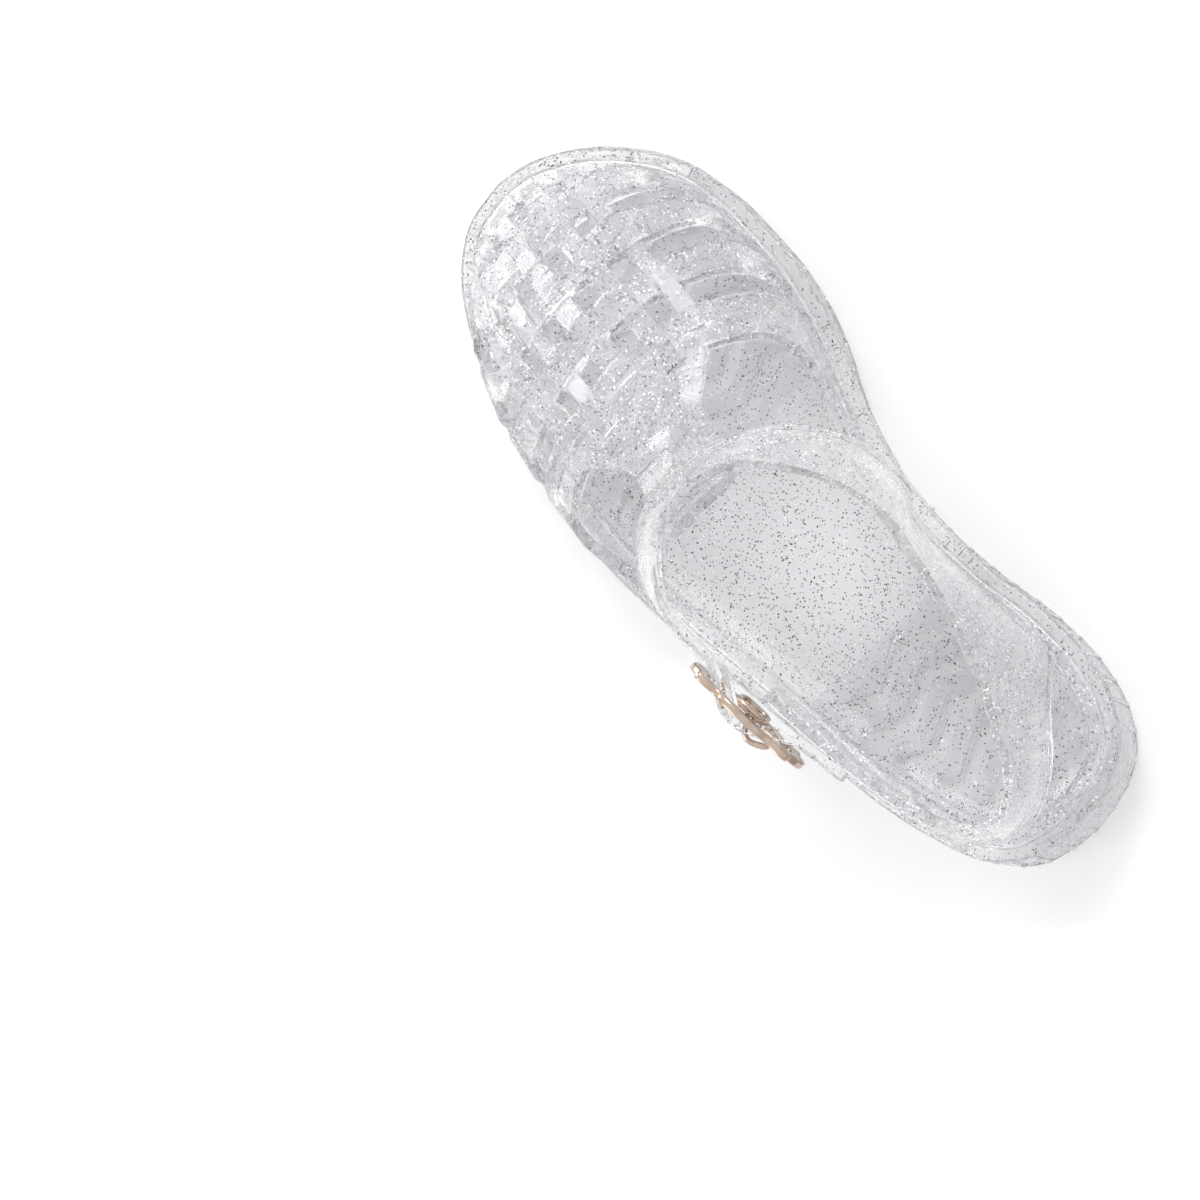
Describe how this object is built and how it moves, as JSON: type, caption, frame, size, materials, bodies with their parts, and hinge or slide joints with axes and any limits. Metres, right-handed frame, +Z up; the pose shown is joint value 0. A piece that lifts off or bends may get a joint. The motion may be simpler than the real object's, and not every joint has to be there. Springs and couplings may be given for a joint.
{
  "type": "jelly sandal",
  "caption": "Child's left jelly sandal: clear moulded upper with woven vamp, T-bar, ankle strap and side buckle on a chevron-treaded sole.",
  "frame": {"origin": "middle of the part's bounding box, on the ground under the sole", "axes": "+X to the wearer's right, the inner (medial) side of this left shoe; +Y towards the toe; +Z up"},
  "size_m": [0.0692, 0.1746, 0.0642],
  "materials": {
    "clear_vinyl": "clear soft vinyl with silver glitter",
    "clear_vinyl_upper": "clear soft vinyl with silver glitter",
    "rose_metal": "polished rose-gold plating"
  },
  "bodies": {
    "root": {"outsole": "clear_vinyl", "upper": "clear_vinyl_upper", "buckle_frame": "rose_metal", "buckle_prong": "rose_metal", "buckle_clip": "rose_metal"}
  },
  "joints": []
}
